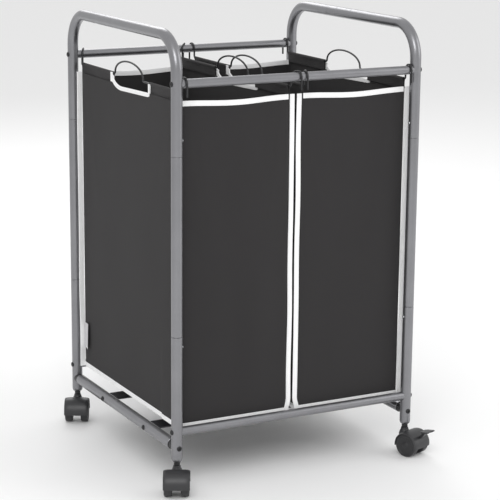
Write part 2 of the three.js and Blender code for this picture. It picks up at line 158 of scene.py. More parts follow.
def build(name, patches, paints, body, hides=(), crisp=40):
    """One mesh object from patches whose touching edges are welded and whose faces point out."""
    verts, faces, uvs, slots, start = [], [], [], [], 0
    for points, quads, uv, paint in patches:
        verts.append(points)
        faces.append(quads + start)
        uvs.append(uv.reshape(-1, 2))
        slots.append(np.full(len(quads), paint))
        start += len(points)
    verts, faces = np.concatenate(verts), np.concatenate(faces)
    mesh = bpy.data.meshes.new(name)
    mesh.vertices.add(len(verts))
    mesh.vertices.foreach_set("co", verts.astype(np.float32).ravel())
    mesh.loops.add(faces.size)
    mesh.loops.foreach_set("vertex_index", faces.astype(np.int32).ravel())
    mesh.polygons.add(len(faces))
    mesh.polygons.foreach_set("loop_start", np.arange(0, faces.size, 4, dtype=np.int32))
    mesh.polygons.foreach_set("material_index", np.concatenate(slots).astype(np.int32))
    mesh.update(calc_edges=True)
    layer = mesh.uv_layers.new(name="thread")
    layer.data.foreach_set("uv", np.concatenate(uvs).astype(np.float32).ravel())
    for paint in paints:
        mesh.materials.append(paint)
    work = bmesh.new()
    work.from_mesh(mesh)
    bmesh.ops.remove_doubles(work, verts=work.verts, dist=2e-6)
    bmesh.ops.dissolve_degenerate(work, edges=work.edges, dist=1e-7)
    bmesh.ops.recalc_face_normals(work, faces=work.faces)
    limit = math.radians(crisp)
    for edge in work.edges:
        edge.smooth = len(edge.link_faces) != 2 or edge.calc_face_angle(0) < limit
    for face in work.faces:
        face.smooth = True
    work.to_mesh(mesh)
    work.free()
    piece = bpy.data.objects.new(name, mesh)
    bpy.context.scene.collection.objects.link(piece)
    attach(piece, body)
    if hides:
        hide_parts(*hides)
    return piece


def unit(v):
    """Vectors of length one."""
    return v / np.maximum(np.linalg.norm(v, axis=-1, keepdims=True), 1e-12)


def lathe(profile, sides=32, paint=0):
    """Radius and height pairs turned once about +Z: (r cos a, r sin a, z)."""
    profile = np.asarray(profile, float)
    a = np.linspace(0, 2 * math.pi, sides + 1)
    r, z = profile[:, :1], profile[:, 1:]
    points = np.stack([r * np.cos(a), r * np.sin(a), z + 0 * a], axis=-1)
    return patch(points, a * 10 * MM, profile[:, 1], paint)


def rounded(profile, radius, steps=4):
    """A polyline of (r, z) points with each inner corner turned into an arc by a quadratic curve."""
    profile = np.asarray(profile, float)
    result = [profile[:1]]
    for before, corner, after in zip(profile[:-2], profile[1:-1], profile[2:]):
        back, ahead = before - corner, after - corner
        reach = min(radius, 0.45 * np.linalg.norm(back), 0.45 * np.linalg.norm(ahead))
        t = np.linspace(0, 1, steps + 1)[:, None]
        a, b = corner + unit(back) * reach, corner + unit(ahead) * reach
        result.append((1 - t) ** 2 * a + 2 * t * (1 - t) * corner + t**2 * b)
    result.append(profile[-1:])
    return np.concatenate(result)


def moved(piece_patch, turn=None, shift=(0, 0, 0)):
    """A patch turned by a 3 by 3 matrix and then shifted."""
    points, quads, uv, paint = piece_patch
    if turn is not None:
        points = points @ np.asarray(turn).T
    return points + np.asarray(shift), quads, uv, paint


def turned_to(z_axis, x_axis=None):
    """Matrix that carries +Z onto z_axis and, as near as it can, +X onto x_axis."""
    z = unit(np.asarray(z_axis, float))
    x = np.array([1.0, 0, 0]) if x_axis is None else np.asarray(x_axis, float)
    if abs(x @ z) > 0.99:
        x = np.array([0, 1.0, 0])
    x = unit(x - (x @ z) * z)
    return np.stack([x, np.cross(z, x), z], axis=1)


def about_z(degrees):
    a = math.radians(degrees)
    return np.array([[math.cos(a), -math.sin(a), 0], [math.sin(a), math.cos(a), 0], [0, 0, 1]])


def along(path):
    """Direction of a path at each of its points, from the points before and after."""
    return unit(np.gradient(path, axis=0))


def carried(path, section, side, paint=0, closed_section=True, capped=True):
    """A flat section carried along a path.

    section is (count, 2): its first number goes along side, its second along side x direction.
    """
    ahead = along(path)
    side = unit(side - np.sum(side * ahead, axis=-1, keepdims=True) * ahead)
    other = np.cross(ahead, side)
    if closed_section:
        section = np.vstack([section, section[:1]])
    points = (
        path[:, None]
        + section[None, :, :1] * side[:, None]
        + section[None, :, 1:] * other[:, None]
    )
    reach = np.concatenate([[0], np.cumsum(np.linalg.norm(np.diff(path, axis=0), axis=1))])
    round_reach = np.concatenate([[0], np.cumsum(np.linalg.norm(np.diff(section, axis=0), axis=1))])
    patches = [patch(points, round_reach, reach, paint)]
    if capped:
        for row in (0, -1):
            fan = np.stack([points[row], np.repeat(path[row][None], len(section), axis=0)])
            patches.append(patch(fan, round_reach, np.array([0, 1 * MM]), paint))
    return patches


def circle(radius, sides):
    a = np.linspace(0, 2 * math.pi, sides, endpoint=False)
    return radius * np.stack([np.cos(a), np.sin(a)], axis=1)


def tube(path, radius, sides=24, paint=0):
    """Round tube along a path that bends in one plane."""
    ahead = along(path)
    side = np.cross(ahead, UP)
    flat = np.linalg.norm(side, axis=1) < 0.5
    side[flat] = np.array([1.0, 0, 0])
    side = np.repeat(unit(side[len(side) // 2])[None], len(path), axis=0)
    return carried(path, circle(radius, sides), side, paint)


def shell(points, thickness, u=None, v=None, closed=False, paint=0):
    """A sheet of even thickness about a grid of points, with its rim closed.

    Each point is moved half the thickness along the surface normal, once to either side.
    """
    across = np.gradient(points, axis=1)
    if closed:
        across[:, 0] = across[:, -1] = points[:, 1] - points[:, -2]
    normal = unit(np.cross(across, np.gradient(points, axis=0)))
    outer, inner = points + normal * thickness / 2, points - normal * thickness / 2
    patches = [patch(outer, u, v, paint), patch(inner, u, v, paint)]
    for row in (0, -1):
        patches.append(patch(np.stack([outer[row], inner[row]]), u, np.array([0, thickness]), paint))
    if not closed:
        for col in (0, -1):
            edge = np.stack([outer[:, col], inner[:, col]])
            patches.append(patch(edge, v, np.array([0, thickness]), paint))
    return patches


def arc(centre, radius, start, end, steps):
    """Points on an arc in a plane, angles in degrees."""
    a = np.radians(np.linspace(start, end, steps + 1))
    radius = np.broadcast_to(radius, 2)
    return np.stack([centre[0] + radius[0] * np.cos(a), centre[1] + radius[1] * np.sin(a)], axis=1)


def resampled(points, spacing):
    """The same polyline with a point at every spacing."""
    reach = np.concatenate([[0], np.cumsum(np.linalg.norm(np.diff(points, axis=0), axis=1))])
    count = max(2, int(round(reach[-1] / spacing)) + 1)
    s = np.linspace(0, reach[-1], count)
    return np.stack([np.interp(s, reach, points[:, k]) for k in range(points.shape[1])], axis=1)


# ---- Finishes ----


class Value:
    """A number that varies over a surface, as a node socket. Arithmetic on it adds Math nodes."""

    def __init__(self, shade, socket):
        self.shade, self.socket = shade, socket

    def math(self, operation, *others):
        node = self.shade.add("ShaderNodeMath", {"operation": operation}, [self, *others])
        return Value(self.shade, node.outputs[0])

    def __add__(self, other):
        return self.math("ADD", other)

    def __sub__(self, other):
        return self.math("SUBTRACT", other)

    def __mul__(self, other):
        return self.math("MULTIPLY", other)

    def __truediv__(self, other):
        return self.math("DIVIDE", other)

    def __rsub__(self, other):
        return self.math("MULTIPLY", -1).math("ADD", other)

    __radd__ = __add__
    __rmul__ = __mul__

    def over(self, low, high):
        """0 below low, 1 above high, and a smooth step between."""
        node = self.shade.add(
            "ShaderNodeMapRange", {"interpolation_type": "SMOOTHSTEP"}, [self, low, high, 0.0, 1.0]
        )
        return Value(self.shade, node.outputs[0])


class Shade:
    """A material and the nodes that give it its colour, gloss and relief."""

    def __init__(self, name, roughness, metallic=0.0, coat=0.0):
        self.material = bpy.data.materials.new(name)
        self.material.use_nodes = True
        self.tree = self.material.node_tree
        self.surface = self.tree.nodes["Principled BSDF"]
        self.surface.inputs["Roughness"].default_value = roughness
        self.surface.inputs["Metallic"].default_value = metallic
        self.surface.inputs["Coat Weight"].default_value = coat
        self.place = self.add("ShaderNodeTexCoord").outputs["Object"]

    def add(self, kind, options=None, inputs=()):
        """A node of this kind: its settings first, then values or links by position or name."""
        node = self.tree.nodes.new(kind)
        for key, value in (options or {}).items():
            setattr(node, key, value)
        pairs = inputs.items() if isinstance(inputs, dict) else enumerate(inputs)
        for key, value in pairs:
            if isinstance(value, Value):
                value = value.socket
            if isinstance(value, bpy.types.NodeSocket):
                self.tree.links.new(value, node.inputs[key])
            else:
                node.inputs[key].default_value = value
        return node

    def axes(self, source=None):
        node = self.add("ShaderNodeSeparateXYZ", None, [source or self.place])
        return [Value(self, socket) for socket in node.outputs]

    def thread(self):
        """The piece's own measure across and along its cloth, in metres."""
        return self.axes(self.add("ShaderNodeUVMap", {"uv_map": "thread"}).outputs[0])

    def noise(self, scale, detail=2.0, stretch=(1, 1, 1)):
        mapped = self.add("ShaderNodeMapping", None, {"Vector": self.place, "Scale": stretch})
        node = self.add(
            "ShaderNodeTexNoise", None, {"Vector": mapped.outputs[0], "Scale": scale, "Detail": detail}
        )
        return Value(self, node.outputs[0])

    def mix(self, amount, low, high):
        """Colour between low and high."""
        node = self.add("ShaderNodeMix", {"data_type": "RGBA"})
        for index, value in ((0, amount), (6, low), (7, high)):
            if isinstance(value, Value):
                value = value.socket
            if isinstance(value, bpy.types.NodeSocket):
                self.tree.links.new(value, node.inputs[index])
            else:
                node.inputs[index].default_value = (*value, 1) if index else value
        return node.outputs[2]

    def feed(self, name, value):
        socket = value.socket if isinstance(value, Value) else value
        self.tree.links.new(socket, self.surface.inputs[name])

    def relief(self, height, distance, strength=1.0):
        node = self.add(
            "ShaderNodeBump", None, {"Height": height, "Distance": distance, "Strength": strength}
        )
        self.feed("Normal", node.outputs[0])


def scaled(colour, factor):
    return tuple(min(1.0, c * factor) for c in colour[:3])


def powder_coat(name, colour, metallic, roughness):
    """Sprayed coat: fine flake and orange peel, with faint handling marks that dull it."""
    shade = Shade(name, roughness, metallic)
    flake = shade.noise(2600, 1.0)
    cloud = shade.noise(22, 3.0)
    marks = shade.noise(90, 4.0, (1, 1, 0.12)).over(0.56, 0.74)
    tone = (flake.over(0.3, 0.75) * 0.5 + cloud * 0.5).over(0.2, 0.8)
    shade.feed("Base Color", shade.mix(tone, scaled(colour, 0.88), scaled(colour, 1.12)))
    shade.feed("Roughness", marks * 0.1 + cloud * 0.08 + (roughness - 0.06))
    shade.relief(shade.noise(700, 1.0) + flake * 0.3, 0.03 * MM)
    return shade.material


def moulded(name, colour, roughness, grain=900):
    """Moulded plastic: fine spark-eroded grain, slight flow shading and scuffed high spots."""
    shade = Shade(name, roughness)
    grit = shade.noise(grain, 2.0)
    flow = shade.noise(35, 3.0)
    scuff = shade.noise(160, 5.0).over(0.6, 0.78)
    shade.feed("Base Color", shade.mix(scuff * 0.35 + flow * 0.3, scaled(colour, 0.9), scaled(colour, 1.45)))
    shade.feed("Roughness", grit * 0.16 + scuff * 0.12 + (roughness - 0.1))
    shade.relief(grit + flow * 0.4, 0.05 * MM)
    return shade.material


def plated(name, colour, roughness):
    """Bright zinc plate: fine grain and small dull patches."""
    shade = Shade(name, roughness, 1.0)
    patchy = shade.noise(500, 3.0)
    shade.feed("Base Color", shade.mix(patchy, scaled(colour, 0.8), colour))
    shade.feed("Roughness", patchy * 0.18 + (roughness - 0.06))
    shade.relief(shade.noise(1500, 1.0), 0.01 * MM)
    return shade.material


def woven(name, colour, pitch, roughness, contrast, relief, stitch_at=None):
    """Plain weave: warp and weft threads take turns on top.

    Height is the product of the sine along one thread set and the cosine of the other, so the
    crossings alternate like a chessboard. Slubs thicken some threads, and lint dulls patches.
    """
    shade = Shade(name, roughness)
    u, v, _ = shade.thread()
    rate = 2 * math.pi / pitch
    warp = (u * rate).math("SINE")
    weft = (v * rate).math("SINE")
    crossing = warp * weft * 0.5 + 0.5
    grain = (u * (rate * 2)).math("SINE") * 0.12 + (v * (rate * 2)).math("SINE") * 0.12
    slub = shade.noise(420, 2.0, (1, 1, 0.15)) + shade.noise(420, 2.0, (0.15, 0.15, 1))
    cloud = shade.noise(14, 4.0)
    lint = shade.noise(1100, 2.0).over(0.68, 0.8)
    tone = crossing * 0.35 + slub * 0.3 + cloud * 0.25 + lint * 0.5
    low, high = scaled(colour, 1 - contrast), scaled(colour, 1 + contrast)
    shade.feed("Base Color", shade.mix(tone, low, high))
    shade.feed("Roughness", slub * 0.06 + (roughness - 0.05))
    height = crossing + grain + slub * 0.5
    if stitch_at:
        row = (u - stitch_at).math("ABSOLUTE").math("MULTIPLY", -1).over(-0.7 * MM, -0.2 * MM)
        height = height + row * (v * (2 * math.pi / (3.2 * MM))).math("SINE").over(-0.3, 0.2) * 2.5
    shade.relief(height, relief)
    shade.surface.inputs["Sheen Weight"].default_value = 0.04
    shade.surface.inputs["Sheen Roughness"].default_value = 0.6
    return shade.material


def tape(name, colour, pitch):
    """Folded binding tape: fine ribs across it and a row of lock stitches near its inner edge."""
    shade = Shade(name, 0.82)
    u, v, _ = shade.thread()
    rib = (v * (2 * math.pi / pitch)).math("SINE") * 0.5 + 0.5
    stitch = (v * (2 * math.pi / (3.4 * MM))).math("SINE").over(-0.3, 0.2)
    row = (u - STITCH_AT).math("ABSOLUTE").math("MULTIPLY", -1).over(-0.55 * MM, -0.15 * MM)
    far_row = (u - STITCH_FAR).math("ABSOLUTE").math("MULTIPLY", -1).over(-0.55 * MM, -0.15 * MM)
    thread = (row + far_row) * stitch
    dust = shade.noise(60, 4.0)
    tone = rib * 0.35 + dust * 0.65 - thread * 0.5
    shade.feed("Base Color", shade.mix(tone, scaled(colour, 0.84), colour))
    shade.relief(rib * 0.5 + thread * 1.2 + dust * 0.5, 0.18 * MM)
    return shade.material


STITCH_AT = 1.9 * MM
STITCH_FAR = 17.0 * MM
PAINTS = {}


def paint(name):
    """The finish of this name, made the first time that it is asked for."""
    tubes, bags, casters = settings()
    makers = {
        "silver": lambda: powder_coat("silver powder coat", tubes.silver, 0.85, 0.33),
        "slat": lambda: powder_coat("dark slat coat", tubes.dark, 0.45, 0.45),
        "black": lambda: powder_coat("black dip coat", tubes.black, 0.1, 0.42),
        "steel": lambda: plated("bright plate", tubes.steel, 0.24),
        "saddle": lambda: moulded("saddle plastic", tubes.black, 0.5),
        "hood": lambda: moulded("hood plastic", casters.grey, 0.42),
        "wheel": lambda: moulded("wheel plastic", casters.tread, 0.5, 600),
        "cloth": lambda: woven("charcoal weave", bags.charcoal, bags.thread_pitch, 0.86, 0.3, 0.22 * MM),
        "label": lambda: woven("label satin", bags.label, 0.5 * MM, 0.6, 0.08, 0.05 * MM),
        "hem": lambda: woven("hem weave", bags.charcoal, bags.thread_pitch, 0.86, 0.3, 0.22 * MM, 3 * MM),
        "trim": lambda: tape("white binding", bags.white, 0.9 * MM),
    }
    if name not in PAINTS:
        PAINTS[name] = makers[name]()
    return PAINTS[name]


# ---- Frame ----


def corner_signs(corner):
    """-1 or 1 along X and along Y."""
    return (1 if corner.endswith("right") else -1), (1 if corner.startswith("back") else -1)


def post_at(corner, height=0.0):
    sx, sy = corner_signs(corner)
    return np.array([sx * POST_X, sy * POST_Y, height])


def straight_post(low, high, radius, foot=False):
    """Post tube: a straight side with eased ends, and at the foot a rolled-in neck."""
    ease = 0.5 * MM
    if foot:
        start = [
            [0, low + 3 * MM],
            [4.6 * MM, low + 3 * MM],
            [4.9 * MM, low],
            [radius - 2.6 * MM, low],
            [radius - 0.6 * MM, low + 2.4 * MM],
            [radius, low + 6 * MM],
        ]
    else:
        core = radius - 1.3 * MM
        start = [
            [0, low - 8 * MM],
            [core, low - 8 * MM],
            [core, low],
            [radius - ease, low],
            [radius, low + ease],
        ]
    end = [[radius, high - ease], [radius - ease, high], [0, high]]
    return rounded(start + end, 1.2 * MM)


class SORTER_OT_posts(bpy.types.Operator):
    """Build the lower and middle tubes of the four posts"""

    bl_idname = "sorter.posts"
    bl_label = "Posts"

    def execute(self, context):
        radius = settings()[0].post_radius
        gap = 0.35 * MM
        for corner in CORNERS:
            for kind, low, high in (
                ("lower", POST_FOOT, LOWER_JOINT),
                ("middle", LOWER_JOINT + gap, UPPER_JOINT - gap),
            ):
                profile = straight_post(low, high, radius, kind == "lower")
                build(
                    f"post_{kind}_{corner}",
                    [moved(lathe(profile, 40), shift=post_at(corner))],
                    [paint("silver")],
                    "cart",
                    [f"{kind}_post_{corner}"],
                )
        return {"FINISHED"}


def hoop_path(radius, bend):
    """Up one post, round two bends joined by a level bar, and down the other post, in YZ."""
    top = HANDLE_TOP - radius
    reach, flat = POST_Y - bend, top - bend
    points = np.concatenate([
        [[-POST_Y, UPPER_JOINT], [-POST_Y, flat]],
        arc((-reach, flat), bend, 180, 90, 24)[1:],
        arc((reach, flat), bend, 90, 0, 24),
        [[POST_Y, UPPER_JOINT]],
    ])
    return resampled(points, 4 * MM)


class SORTER_OT_handles(bpy.types.Operator):
    """Build the two hooped handles"""

    bl_idname = "sorter.handles"
    bl_label = "Handles"

    def execute(self, context):
        tubes = settings()[0]
        flat = hoop_path(tubes.post_radius, tubes.bend_radius)
        for side, name in ((-1, "left"), (1, "right")):
            path = np.column_stack([np.full(len(flat), side * POST_X), flat])
            build(
                f"handle_{name}",
                tube(path, tubes.post_radius, 36),
                [paint("silver")],
                "cart",
                [f"handle_hoop_{name}"],
            )
        return {"FINISHED"}


def coped_bar(reach, radius, post_radius, sides=36):
    """Bar along X between two posts whose ends follow the posts' round sides.

    The end of each line along the bar is reach minus the post's depth there, which is the square
    root of the post's radius squared less the line's sideways place squared.
    """
    a = np.linspace(0, 2 * math.pi, sides + 1)
    y, z = radius * np.cos(a), radius * np.sin(a)
    end = reach - np.sqrt(post_radius**2 - y**2) - 0.1 * MM
    line = np.linspace(-1, 1, 9)[:, None]
    side = np.stack([line * end, y + 0 * line, z + 0 * line], axis=-1)
    patches = [patch(side, a * radius, line[:, 0] * reach)]
    for row, sign in ((0, -1), (-1, 1)):
        pole = np.zeros_like(side[row]) + [sign * (reach - post_radius), 0, 0]
        patches.append(patch(np.stack([side[row], pole]), a * radius, np.array([0, radius])))
    return patches


class SORTER_OT_rails(bpy.types.Operator):
    """Build the top, bottom and side rails and the saddles at the side rails' ends"""

    bl_idname = "sorter.rails"
    bl_label = "Rails"

    def execute(self, context):
        tubes = settings()[0]
        for level, height in (("top", TOP_RAIL_Z), ("bottom", BOTTOM_RAIL_Z)):
            for sign, name in ((-1, "front"), (1, "back")):
                bar = coped_bar(POST_X, tubes.rail_radius, tubes.post_radius)
                build(
                    f"rail_{level}_{name}",
                    [moved(p, shift=(0, sign * POST_Y, height)) for p in bar],
                    [paint("silver")],
                    "cart",
                    [f"{level}_rail_{name}"],
                )
        for sign, name in ((-1, "left"), (1, "right")):
            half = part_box(f"side_rail_{name}")[1][1]
            ease = 0.5 * MM
            r = tubes.post_radius
            profile = [
                [0, -half],
                [r - ease, -half],
                [r, -half + ease],
                [r, half - ease],
                [r - ease, half],
                [0, half],
            ]
            build(
                f"rail_side_{name}",
                [moved(lathe(profile, 40), turned_to((0, 1, 0)), (sign * POST_X, 0, SIDE_RAIL_Z))],
                [paint("silver")],
                "cart",
                [f"side_rail_{name}"],
            )
            self.saddles(sign, name, half, r)
        return {"FINISHED"}

    def saddles(self, sign, name, half, r):
        """A collar against the rail's end, then a neck that follows the post's round side."""
        for end, place in ((-1, "front"), (1, "back")):
            a = np.linspace(0, 2 * math.pi, 37)
            neck = r - 1.0 * MM
            reach = POST_Y - half
            rings = [(0, reach), (r - 0.6 * MM, reach), (r - 0.1 * MM, reach - 0.5 * MM)]
            rings += [(r - 0.1 * MM, reach - 1.6 * MM), (neck, reach - 2.2 * MM)]
            rows = [np.stack([k * np.cos(a), 0 * a + d, k * np.sin(a)], axis=1) for k, d in rings]
            depth = np.sqrt(r**2 - (neck * np.cos(a)) ** 2) + 0.1 * MM
            rows.append(np.stack([neck * np.cos(a), depth, neck * np.sin(a)], axis=1))
            rows.append(np.zeros_like(rows[-1]) + [0, 6 * MM, 0])
            points = np.stack(rows) * [1, -end, 1]
            corner = f"{place}_{name}"
            build(
                f"saddle_cap_{corner}",
                [moved(patch(points), shift=(sign * POST_X, end * POST_Y, SIDE_RAIL_Z))],
                [paint("saddle")],
                "cart",
                [f"saddle_{corner}"],
            )


class SORTER_OT_slats(bpy.types.Operator):
    """Build the two flat base slats with their ends bent down"""

    bl_idname = "sorter.slats"
    bl_label = "Base slats"

    def execute(self, context):
        bend = 3.5 * MM
        for name in ("front", "back"):
            low, high = (np.array(v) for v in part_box(f"base_slat_{name}"))
            thick = 2 * MM
            reach, top = high[0] - thick / 2, high[2] - thick / 2
            line = np.concatenate([
                [[-reach, low[2]]],
                arc((-reach + bend, top - bend), bend, 180, 90, 6),
                arc((reach - bend, top - bend), bend, 90, 0, 6),
                [[reach, low[2]]],
            ])
            line = resampled(line, 3 * MM)
            reach_along = np.concatenate([[0], np.cumsum(np.linalg.norm(np.diff(line, axis=0), axis=1))])
            span = reach_along[-1]
            edge = np.minimum(reach_along, span - reach_along)
            corner = 6 * MM
            inset = corner - np.sqrt(corner**2 - np.clip(corner - edge, 0, corner) ** 2)
            across = np.linspace(-1, 1, 9)
            half = (high[1] - low[1]) / 2 - inset[:, None]
            crown = 0.5 * MM * np.clip(np.abs(across) - 0.8, 0, 1) * 5
            points = np.stack([
                line[:, :1] + 0 * across,
                (low[1] + high[1]) / 2 + half * across,
                line[:, 1:] - crown,
            ], axis=-1)
            build(
                f"slat_{name}",
                shell(points, thick, across * 19 * MM, reach_along),
                [paint("slat")],
                "cart",
                [f"base_slat_{name}"],
            )
        return {"FINISHED"}


def screw(radius):
    """Pan head with a cross recess.

    The head's height falls with the fourth power of the distance from its middle. The recess is
    cut where either cross arm's half width is not reached, and it fades out towards the rim.
    """
    r = np.linspace(0, 1, 25)[:, None]
    a = np.linspace(0, 2 * math.pi, 49)
    x, y = radius * r * np.cos(a), radius * r * np.sin(a)
    height = 2.3 * MM * (1 - 0.55 * r**4) + 0 * a
    arm, soft = 0.5 * MM, 0.25 * MM
    nearest = np.minimum(np.abs(x), np.abs(y))
    cut = np.clip((arm + soft - nearest) / soft, 0, 1) * np.clip((0.62 - r) / 0.12, 0, 1)
    top = np.stack([x, y, height - 1.2 * MM * cut], axis=-1)
    skirt = np.stack([top[-1], top[-1] * [1, 1, 0] - [0, 0, 0.6 * MM]])
    base = np.stack([skirt[1], skirt[1] * [0, 0, 1]])
    return [patch(top), patch(skirt), patch(base)]


class SORTER_OT_screws(bpy.types.Operator):
    """Build the round-headed screws on the posts and side rails"""

    bl_idname = "sorter.screws"
    bl_label = "Screws"

    def execute(self, context):
        tubes = settings()[0]
        surface = tubes.post_radius - 0.3 * MM
        sites = {"top_rails": [], "bottom_rails": [], "side_rails": [], "slats": []}
        for corner in CORNERS:
            sx, sy = corner_signs(corner)
            outward, along_y = np.array([sx, 0, 0]), np.array([0, sy, 0])
            sites["top_rails"].append((post_at(corner, TOP_RAIL_Z), outward))
            sites["bottom_rails"].append((post_at(corner, BOTTOM_RAIL_Z), outward))
            sites["side_rails"].append((post_at(corner, SIDE_RAIL_Z - 1 * MM), along_y))
        for name in ("front", "back"):
            y = middle(f"base_slat_{name}")[1]
            for sx in (-1, 1):
                sites["slats"].append((np.array([sx * POST_X, y, SIDE_RAIL_Z]), np.array([sx, 0, 0])))
        for group, places in sites.items():
            patches = []
            for index, (place, outward) in enumerate(places):
                turn = turned_to(outward, UP) @ about_z(17 + 31 * index)
                patches += [moved(p, turn, place + outward * surface) for p in screw(tubes.screw_radius)]
            build(f"screws_{group}", patches, [paint("black")], "cart")
        return {"FINISHED"}


class SORTER_OT_buttons(bpy.types.Operator):
    """Build the spring buttons and the black rings of painted shade round the holes they stand in"""

    bl_idname = "sorter.buttons"
    bl_label = "Snap buttons"

    def execute(self, context):
        radius = settings()[0].post_radius
        hole_shade_rings = []
        for level in ("upper", "lower"):
            for corner in CORNERS:
                node = f"snap_button_{level}_{corner}"
                low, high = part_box(node)
                sx, _ = corner_signs(corner)
                inward = np.array([-sx, 0, 0])
                tip = abs(POST_X - min(abs(low[0]), abs(high[0])))
                base = abs(POST_X - max(abs(low[0]), abs(high[0])))
                r = (high[2] - low[2]) / 2 - 1 * MM
                outline = [[0, base], [r, base], [r, tip - 0.9 * MM], [r * 0.55, tip], [0, tip]]
                profile = rounded(outline, 1 * MM)
                place = post_at(corner, (low[2] + high[2]) / 2)
                turn = turned_to(inward, UP)
                build(
                    f"button_{level}_{corner}",
                    [moved(lathe(profile, 28), turn, place)],
                    [paint("steel")],
                    f"button_{level}_{corner}",
                    [node],
                )
                # a thin black ring round each hole: painted shade for the shadow gap between button and post
                hole_shade_rings += [moved(p, turn, place) for p in self.rim(r, radius)]
        # all the rings of painted shade, built as one black object on the cart
        build("button_holes", hole_shade_rings, [paint("black")], "cart")
        return {"FINISHED"}

    def rim(self, hole, radius):
        """Flat black ring wrapped on the post round a button's hole, painted shade for the hole's shadow gap:
        its depth is the root of radius squared less y squared.
        """
        a = np.linspace(0, 2 * math.pi, 33)
        k = np.array([hole + 0.15 * MM, hole + 0.75 * MM])[:, None]
        x, y = k * np.cos(a), k * np.sin(a)
        ring = np.stack([x, y, np.sqrt(radius**2 - y**2)], axis=-1)
        return shell(ring, 0.12 * MM, closed=True)


# ---- Bags ----


def wave(x, low, high):
    """0 below low and 1 above high, with a smooth step between."""
    t = np.clip((np.asarray(x, float) - low) / (high - low), 0, 1)
    return t * t * (3 - 2 * t)


